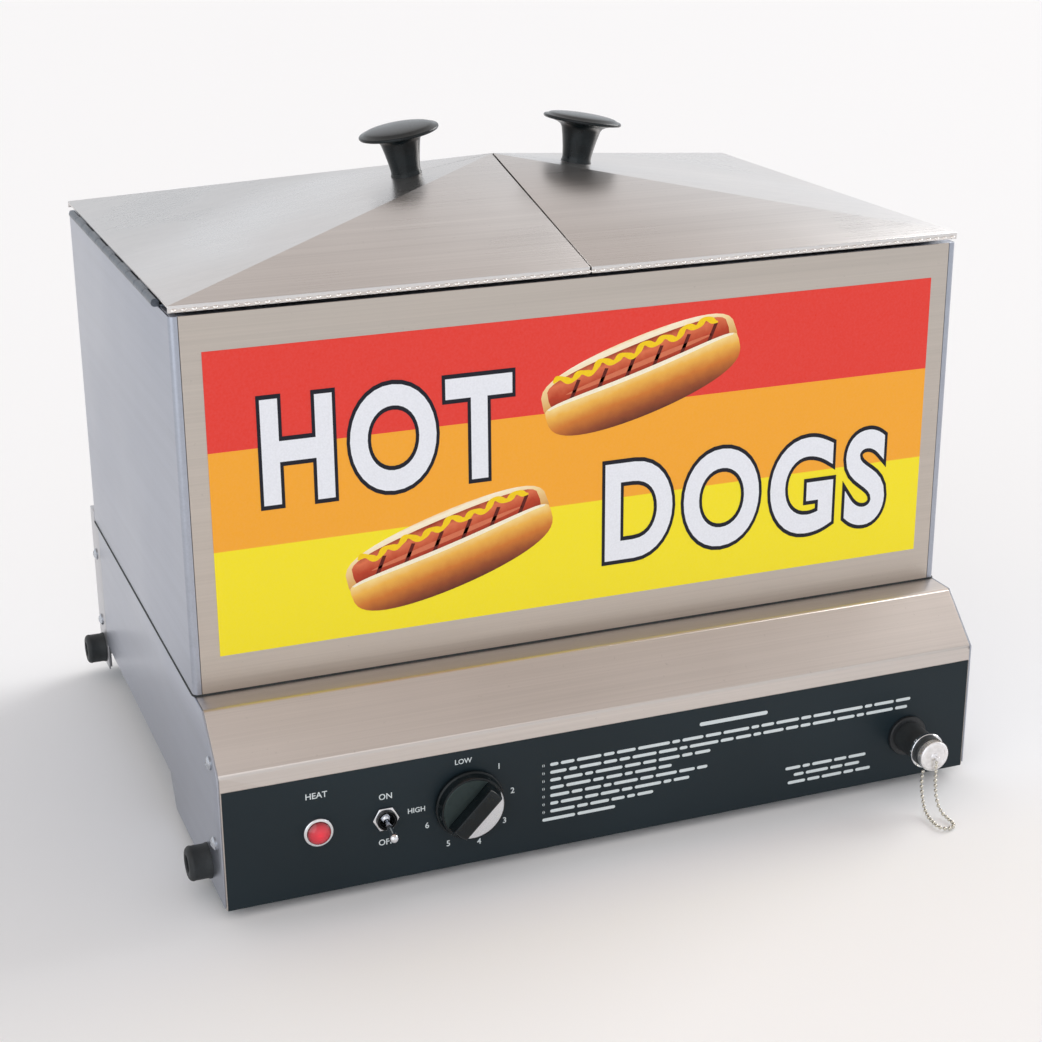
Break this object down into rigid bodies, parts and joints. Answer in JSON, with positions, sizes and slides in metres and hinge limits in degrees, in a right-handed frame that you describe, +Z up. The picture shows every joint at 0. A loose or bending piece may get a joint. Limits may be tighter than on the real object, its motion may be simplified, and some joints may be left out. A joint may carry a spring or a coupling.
{
  "type": "hot dog steamer",
  "caption": "Counter-top hot dog steamer: steel control base with drain, water tank and lift-out wire racks in a box under a peaked roof of two hinged lids.",
  "frame": {"origin": "on the table, under the centre of the body", "axes": "+X to the right as seen from the front, +Y to the back, +Z up; the control panel faces -Y"},
  "size_m": [0.51, 0.4446, 0.406],
  "materials": {
    "front_steel": "brushed, horizontal grain",
    "side_steel": "brushed",
    "plain_steel": "mill finish",
    "tank_steel": "satin",
    "lid_steel": "fine satin",
    "label_film": "satin printed film",
    "graphic_film": "gloss printed film in bands of red, orange and yellow",
    "foot_rubber": "satin",
    "screw_steel": "bright zinc plate",
    "element_sheath": "oxidised alloy sheath",
    "moulding": "moulded phenolic",
    "copper_tube": "drawn copper",
    "knob_plastic": "gloss moulded phenolic",
    "bright_foil": "bright foil",
    "switch_case": "moulded",
    "chrome_trim": "polished",
    "red_lens": "translucent",
    "black_fitting": "satin",
    "black_rubber": "satin",
    "chain_metal": "nickel plate",
    "wire_insulation": "silicone sleeve",
    "rack_wire": "nickel-plated wire"
  },
  "bodies": {
    "cabinet": {"front_panel": "front_steel", "control_label": "label_film", "left_side_panel": "side_steel", "right_side_panel": "side_steel", "rear_cover": "side_steel", "rear_posts": "plain_steel", "bottom_plate": "plain_steel", "deck_plate": "side_steel", "foot_front_left": "foot_rubber", "foot_front_right": "foot_rubber", "foot_rear_left": "foot_rubber", "foot_rear_right": "foot_rubber", "foot_screws": "screw_steel", "bumper_front_left": "foot_rubber", "bumper_front_right": "foot_rubber", "bumper_rear_left": "foot_rubber", "bumper_rear_right": "foot_rubber", "bumper_screws": "screw_steel", "panel_screws": "screw_steel", "box_front_wall": "front_steel", "box_back_wall": "front_steel", "box_left_wall": "side_steel", "box_right_wall": "side_steel", "box_rim": "side_steel", "graphic_panel": "graphic_film", "water_tank": "tank_steel", "divider": "side_steel", "heating_element": "element_sheath", "element_clamp": "plain_steel", "thermostat_body": "moulding", "thermostat_bulb": "copper_tube", "toggle_body": "switch_case", "toggle_nut": "chrome_trim", "pilot_bezel": "chrome_trim", "pilot_lens": "red_lens", "drain_pipe": "screw_steel", "drain_collar": "black_fitting", "drain_sleeve": "black_rubber", "drain_ring": "chrome_trim", "ball_chain": "chain_metal", "cord_gland": "black_fitting", "terminal_block": "moulding", "wiring": "wire_insulation", "hinge_fixed_leaves": "screw_steel", "hinge_pins": "screw_steel"},
    "left_lid": {"left_lid": "lid_steel", "left_lid_knob": "knob_plastic", "left_knob_screw": "screw_steel", "left_hinge_leaf": "screw_steel"},
    "right_lid": {"right_lid": "lid_steel", "right_lid_knob": "knob_plastic", "right_knob_screw": "screw_steel", "right_hinge_leaf": "screw_steel"},
    "thermostat_dial": {"thermostat_knob": "knob_plastic", "knob_inlays": "bright_foil", "thermostat_spindle": "screw_steel"},
    "toggle": {"toggle_lever": "chrome_trim"},
    "drain_stopper": {"drain_cap": "chrome_trim"},
    "bun_tray": {"bun_rack": "rack_wire"},
    "hot_dog_tray": {"hot_dog_rack": "rack_wire"}
  },
  "joints": [
    {"name": "left_lid_hinge", "type": "hinge", "parent": "cabinet", "child": "left_lid", "pos_m": [-0.2435, 0.034, 0.3393], "axis": [0, -1, 0], "range_deg": [0, 105]},
    {"name": "right_lid_hinge", "type": "hinge", "parent": "cabinet", "child": "right_lid", "pos_m": [0.2435, 0.034, 0.3393], "axis": [0, 1, 0], "range_deg": [0, 105]},
    {"name": "thermostat_turn", "type": "hinge", "parent": "cabinet", "child": "thermostat_dial", "pos_m": [-0.096, -0.1715, 0.046], "axis": [0, 1, 0], "range_deg": [-45, 225]},
    {"name": "toggle_throw", "type": "hinge", "parent": "cabinet", "child": "toggle", "pos_m": [-0.1465, -0.1709, 0.046], "axis": [-1, 0, 0], "range_deg": [0, 34]},
    {"name": "drain_cap_turn", "type": "hinge", "parent": "cabinet", "child": "drain_stopper", "pos_m": [0.1975, -0.1715, 0.0355], "axis": [0, -1, 0], "range_deg": [0, 720]},
    {"name": "bun_rack_lift", "type": "slide", "parent": "cabinet", "child": "bun_tray", "axis": [0, 0, 1], "range_m": [0, 0.2]},
    {"name": "hot_dog_rack_lift", "type": "slide", "parent": "cabinet", "child": "hot_dog_tray", "axis": [0, 0, 1], "range_m": [0, 0.2]}
  ]
}
